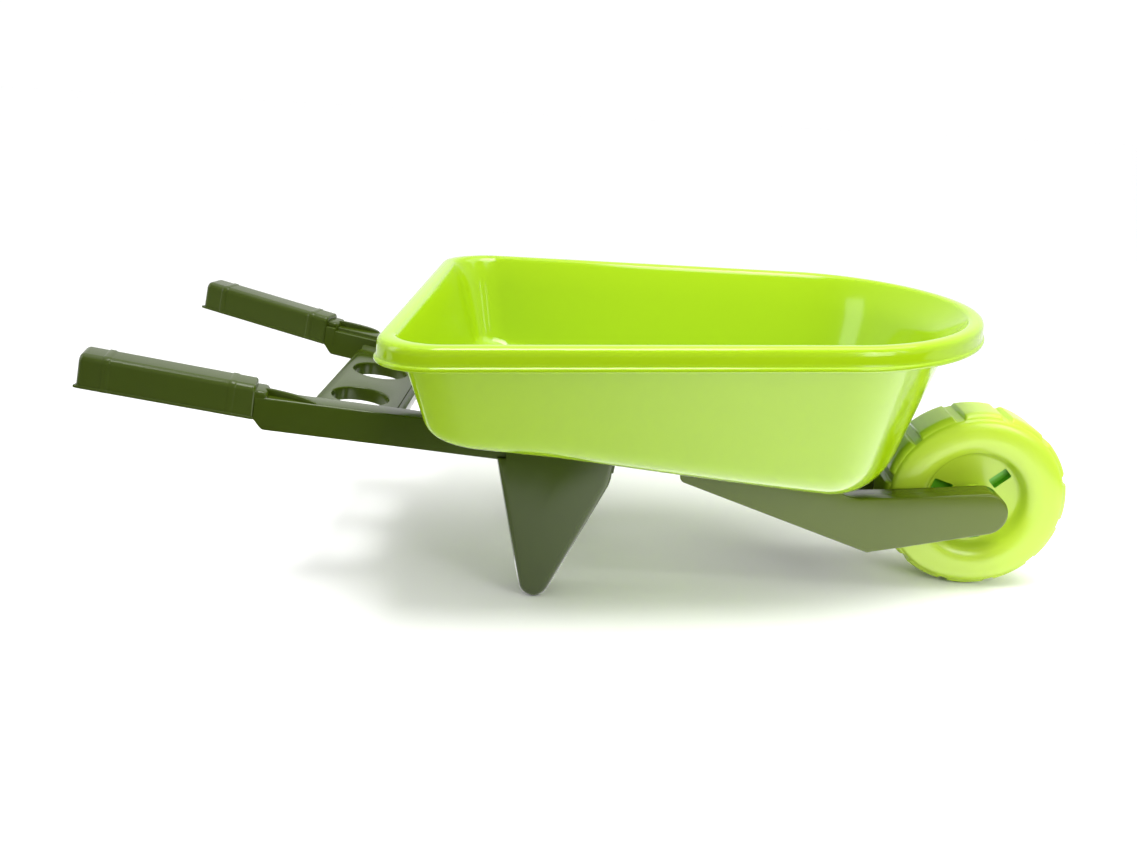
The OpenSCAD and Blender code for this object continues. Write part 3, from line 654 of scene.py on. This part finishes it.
def arm_shape():
    line = [(58, seat(58))] + arc((63, 89.5), 5, 180, 251, 6) + arc((209.5, 40.6), 5.2, 251.5, 281.5, 4)
    line += arc((AXLE_X, AXLE_Z), ARM_END_R, 281.5, 456, 44)
    line += [(240, 83.9), (208, 81), (198, 80.2), (192, 80.8), (186, 82.6), (176, seat(176))]
    o = dense(line, 8)
    hollow = [(4.2, 47.2), (3.2, 46.6), (2.8, 45.6), (2.8, 29.2), (2.5, ARM_IN), (0.7, ARM_IN), (0.2, 28.8),
              (0.0, 29.3)]
    # the outer edge is rounded more around the end and where the top edge leaves the tub
    r = 1.5 + 0.7 * np.clip((o[:, 0] - 250) / 40, 0, 1)
    on_top = (o[:, 0] < 193) & (o[:, 1] > seat(o[:, 0]) - 1.5)
    r = np.where(on_top, 0.4 + 3.0 * np.clip((o[:, 0] - 120) / 66, 0, 1), r)
    s = Shape().loft(slab_rings(o, hollow + round_steps(r, ARM_OUT, 1, 6)))
    # boss for the axle
    boss = [(5.0, 44.4), (5.0, ARM_IN + 0.3), (5.3, ARM_IN), (8.6, ARM_IN), (9.0, ARM_IN + 0.4), (9.0, 47)]
    s.loft([circle(AXLE_X, AXLE_Z, q, y, 40) for q, y in boss], caps=(True, False))
    # ribs across the hollow
    for x in ARM_RIBS:
        hit = sorted(p[1] + (q[1] - p[1]) * (x - p[0]) / (q[0] - p[0])
                     for p, q in zip(o, np.roll(o, -1, 0)) if (p[0] - x) * (q[0] - x) < 0)
        s.merge(boxed(x, x + 2.5, ARM_IN + 2, 48, hit[0] + 1, hit[-1] - 1, 0.5))
    # screw bosses
    boss = [(2.2, 43), (2.2, ARM_IN), (4.7, ARM_IN), (5, ARM_IN + 0.3), (5, 47.5)]
    for x, z in ARM_SCREWS:
        s.loft([circle(x, z, q, y, 24) for q, y in boss], caps=(True, False))
    return s


# the arms take the lighter copy of the olive, which is painted light
for side, name in ((1, "left"), (-1, "right")):
    piece(f"fork_arm_{name}_moulding", arm_shape().moved(np.eye(4), side), "frame", [f"fork_arm_{name}"],
          [olive_fork_painted_light], sharp=42)

# ---- wheel -------------------------------------------------------------------------

WHEEL_R, NOTCH_D, BLOCKS = 73.0, 3.6, 12
NOTCH_EDGE, FIRST_NOTCH = 5.6, 17.5    # half width with its edges, mm; place of the first, degrees
DISC_R, DISC_Y, HUB_R = 35.5, 12.0, 11.8
SLOT_ANGLES, SLOT_HALF, SLOT_BACK = (42, 162, 282), 3.3, 6.0
SLOT_IN, SLOT_OUT, SLOT_ROUND = 19.7, 33.6, 1.2
NO_NOTCH = 99


def smooth_curve(points, step):
    """Points along a Catmull-Rom curve through the given ones."""
    p = np.array(points, float)
    p = np.vstack([2 * p[0] - p[1], p, 2 * p[-1] - p[-2]])
    out = []
    for i in range(1, len(p) - 2):
        n = max(1, round(np.linalg.norm(p[i + 1] - p[i]) / step))
        for k in range(n):
            t = k / n
            out.append(0.5 * (2 * p[i] + (p[i + 1] - p[i - 1]) * t
                              + (2 * p[i - 1] - 5 * p[i] + 4 * p[i + 1] - p[i + 2]) * t * t
                              + (3 * p[i] - p[i - 1] - 3 * p[i + 1] + p[i + 2]) * t ** 3))
    out.append(p[-2])
    return out


def tread_columns():
    """Angles around the wheel, each with its distance from the nearest notch; close at the notches."""
    cols = []
    edge = math.degrees(NOTCH_EDGE / WHEEL_R)
    half = [1.0, 2.5, 3.0, 3.6, 4.6, 5.0, NOTCH_EDGE]
    for i in range(BLOCKS):
        mid = FIRST_NOTCH + 360 * i / BLOCKS
        cols += [(mid + math.degrees(w / WHEEL_R), abs(w)) for w in [-w for w in half[::-1]] + half]
        lo, hi = mid + edge, mid + 360 / BLOCKS - edge
        cols += [(lo + (hi - lo) * k / 7, NO_NOTCH) for k in range(1, 7)]
    return cols


def notched(r, y, w):
    """Radius r at the distance w from a notch; the notch grows deeper towards the side."""
    floor = WHEEL_R - NOTCH_D
    if w == NO_NOTCH or r <= floor:
        return r
    depth = float(np.interp(w, [2.6, 3.1, 4.7, 5.3], [1.0, 0.95, 0.06, 0.0]))
    low = floor - 0.25 * max(0.0, (y - 15) / 5)
    return r - depth * max(0.0, r - low)


def wheel_half_shape():
    # section from the middle of the tread to the disc, as (depth below the tread, y)
    tread = [(0, 0.0), (0, 5), (0, 10), (0, 13), (0.05, 14.4), (0.3, 15.9), (0.8, 17.5), (1.6, 19.0),
             (2.3, 19.9), (2.9, 20.45), (3.4, 20.65), (3.75, 20.8)]
    wall = [(4.0, 21.15), (4.9, 22.6), (7, 23.85), (11.5, 24.8), (16.5, 25.0), (22, 24.7), (28, 23.2),
            (31.5, 20.9), (33.4, 17.6), (34.7, 14.6), (36.0, 12.8), (WHEEL_R - DISC_R, DISC_Y)]
    section = [(WHEEL_R - d, y) for d, y in tread]
    section += [tuple(p) for p in smooth_curve([(WHEEL_R - d, y) for d, y in wall], 1.5)]
    s = Shape()
    cols = tread_columns()
    rings = [[(AXLE_X + notched(r, y, w) * math.cos(math.radians(a)), y,
               AXLE_Z + notched(r, y, w) * math.sin(math.radians(a))) for a, w in cols] for r, y in section]
    s.loft(rings, caps=(False, False))
    # disc: one flat face between its edge, the hub and three slots
    corners = ((SLOT_OUT, SLOT_HALF), (SLOT_IN, SLOT_HALF), (SLOT_IN, -SLOT_HALF), (SLOT_OUT, -SLOT_HALF))
    outline = [p for i, corner in enumerate(corners) for p in arc(corner, SLOT_ROUND, 90 * i, 90 * i + 90, 4)]
    slots = []
    for a in SLOT_ANGLES:
        c, d = math.cos(math.radians(a)), math.sin(math.radians(a))
        slots.append([(AXLE_X + x * c - y * d, AXLE_Z + x * d + y * c) for x, y in outline])
    s.flat([rings[-1], circle(AXLE_X, AXLE_Z, HUB_R, DISC_Y, 48)]
           + [[(x, DISC_Y, z) for x, z in o] for o in slots])
    for o in slots:
        lip, *deep = [[(x, y, z) for x, z in o] for y in (DISC_Y, DISC_Y - 0.4, 9.4, SLOT_BACK)]
        s.loft([lip, deep[0]], caps=(False, False))
        # the slots' lower walls and backs take the deeper green of painted shade
        s.loft(deep, caps=(False, True), mat=1)
    hub = [(HUB_R, DISC_Y), (11.5, 12.4), (11.2, 23.0), (10.8, 23.6), (8.1, 23.6)]
    s.loft([circle(AXLE_X, AXLE_Z, r, y, 48) for r, y in hub], caps=(False, False))
    # flat side towards the other half
    s.loft([[(AXLE_X + q * (x - AXLE_X), y, AXLE_Z + q * (z - AXLE_Z)) for x, y, z in rings[0]]
            for q in (1.0, 0.94)], caps=(False, True))
    return s


for side, name in ((1, "left"), (-1, "right")):
    piece(f"wheel_half_{name}_moulding", wheel_half_shape().moved(np.eye(4), side), "wheel",
          [f"wheel_half_{name}"], [wheel_lime, wheel_painted_shade], sharp=40)

# ---- saddle under the tub: the CAD shape with soft edges ----------------------------

SADDLE_EDGE, SADDLE_ANGLE = 0.8, math.radians(32)

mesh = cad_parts["fork_bridge"].data.copy()
bm = bmesh.new()
bm.from_mesh(mesh)
bmesh.ops.remove_doubles(bm, verts=bm.verts, dist=2e-6)
bmesh.ops.dissolve_limit(bm, angle_limit=math.radians(0.6), verts=bm.verts, edges=bm.edges)
bm.to_mesh(mesh)
bm.free()
ob = add_object("fork_bridge_moulding", mesh)
mesh.materials.clear()
mesh.materials.append(olive)
mesh.shade_smooth()
mesh.set_sharp_from_angle(angle=SADDLE_ANGLE)
bevel = ob.modifiers.new("edges", "BEVEL")
bevel.width = SADDLE_EDGE * MM
bevel.segments = 2
bevel.limit_method = "ANGLE"
bevel.angle_limit = SADDLE_ANGLE
bevel.use_clamp_overlap = True
bevel.harden_normals = True
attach(ob, "frame")
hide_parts("fork_bridge")

# ---- materials of the nodes that the CAD's own solids show ---------------------------

for node, mat in (("axle", rod), ("axle_washers", olive), ("hub_bush_left", wheel_lime),
                  ("hub_bush_right", wheel_lime), ("tub_screws", zinc), ("leg_screws", zinc),
                  ("arm_screws", zinc), ("grip_screws", zinc)):
    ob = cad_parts[node]
    ob.data.materials.clear()
    ob.data.materials.append(mat)

# ---- floor and light, in metres --------------------------------------------------


def flat_square(name, x0, x1, y0, y1, color, rough, gloss):
    """A flat rectangle on the ground, with a plain material of its own."""
    mesh = bpy.data.meshes.new(name)
    mesh.from_pydata([(x0, y0, 0), (x1, y0, 0), (x1, y1, 0), (x0, y1, 0)], [], [(0, 1, 2, 3)])
    ob = add_object(name, mesh)
    m, tree, bsdf = new_material(name)
    set_inputs(bsdf, {"Base Color": (color, color, color, 1), "Roughness": rough,
                      "Specular IOR Level": gloss})
    mesh.materials.append(m)
    return ob, tree, bsdf


def reflection_card(*size):
    """A card just above the floor that only reflections see."""
    ob, tree, bsdf = flat_square(*size)
    ob.location = (0, 0, 0.0015)
    ob.visible_camera = False
    ob.visible_diffuse = False
    ob.visible_shadow = False
    ob.visible_transmission = False
    return tree, bsdf


flat_square("floor", -9, 9, -9, 9, 0.95, 0.9, 0.1)

# the cards give upright faces their depth; the bright one grows brighter towards the wheel
reflection_card("dark_card", -4, 4, -4, -0.35, 0.02, 1, 0)
tree, glow = reflection_card("bright_card", -0.6, 0.7, -0.35, -0.03, 0, 0.5, 0)
glow.inputs["Emission Color"].default_value = (1, 1, 1, 1)
tree.links.new(along_axis(tree, "Object", "X", (-0.3, 0.3), (0.4, 4.2)), glow.inputs["Emission Strength"])

# bright studio wall behind and above the part, dimmer in front of it
world = bpy.data.worlds.new("studio")
bpy.context.scene.world = world
world.use_nodes = True
tree = world.node_tree
bg = tree.nodes["Background"]
bg.inputs["Color"].default_value = (1, 1, 1, 1)
tree.links.new(along_axis(tree, "Generated", "Y", (-0.7, 0.3), (0.4, 1.05)), bg.inputs["Strength"])

# name, place, target, width, height, power in W, spread in degrees
AREA_LIGHTS = [
    ("key", (0.6, 0.15, 1.3), (0.1, -0.05, 0), 0.8, 0.8, 5, 180),
    ("above", (0.05, -0.22, 1.0), (0.05, 0.02, 0.1), 0.5, 0.5, 2.0, 70),
    ("low right", (0.62, -0.62, 0.36), (0.27, 0.0, 0.09), 0.32, 0.32, 0.8, 110),
    ("window", (-1.5, -0.25, 0.75), (0.2, 0, 0.15), 0.5, 0.9, 4.5, 180),
    ("strip 1", (1.35, -0.75, 0.8), (0, 0, 0.15), 0.06, 0.8, 1.2, 180),
    ("strip 2", (0.95, -1.15, 0.8), (0, 0, 0.15), 0.05, 0.8, 1.0, 180),
]

for name, at, target, width, height, power, spread in AREA_LIGHTS:
    light = bpy.data.lights.new(name, "AREA")
    light.shape = "RECTANGLE"
    light.size, light.size_y = width, height
    light.energy = power
    light.spread = math.radians(spread)
    ob = add_object(name, light)
    ob.location = at
    ob.rotation_mode = "QUATERNION"
    ob.rotation_quaternion = (Vector(target) - Vector(at)).to_track_quat("-Z", "Y")

sun = bpy.data.lights.new("overhead", "SUN")
sun.energy = 0.8
sun.angle = math.radians(60)
add_object("overhead", sun).location = (0, 0, 3)

# ---- camera ----------------------------------------------------------------------

CAMERA_AT = (-0.0113757, -0.883148, 0.3890245)
YAW, PITCH, ROLL = -0.0231398812, 0.305643328, 0.0502963058    # radians; the pitch is downwards

cam_data = bpy.data.cameras.new("camera")
cam = add_object("camera", cam_data)
bpy.context.scene.camera = cam
cam_data.sensor_width = 36
cam_data.lens = 36
cam_data.clip_start, cam_data.clip_end = 0.01, 50
forward = Vector((math.sin(YAW) * math.cos(PITCH), math.cos(YAW) * math.cos(PITCH), -math.sin(PITCH)))
right = Vector((math.cos(YAW), -math.sin(YAW), 0))
up = right.cross(forward)
x_axis = math.cos(ROLL) * right + math.sin(ROLL) * up
y_axis = -math.sin(ROLL) * right + math.cos(ROLL) * up
aim = Matrix((x_axis, y_axis, -forward)).transposed().to_4x4()
cam.matrix_world = Matrix.Translation(CAMERA_AT) @ aim

bpy.context.scene.view_settings.view_transform = "Standard"

# ---- scene update ----------------------------------------------------------------

bpy.context.view_layer.update()
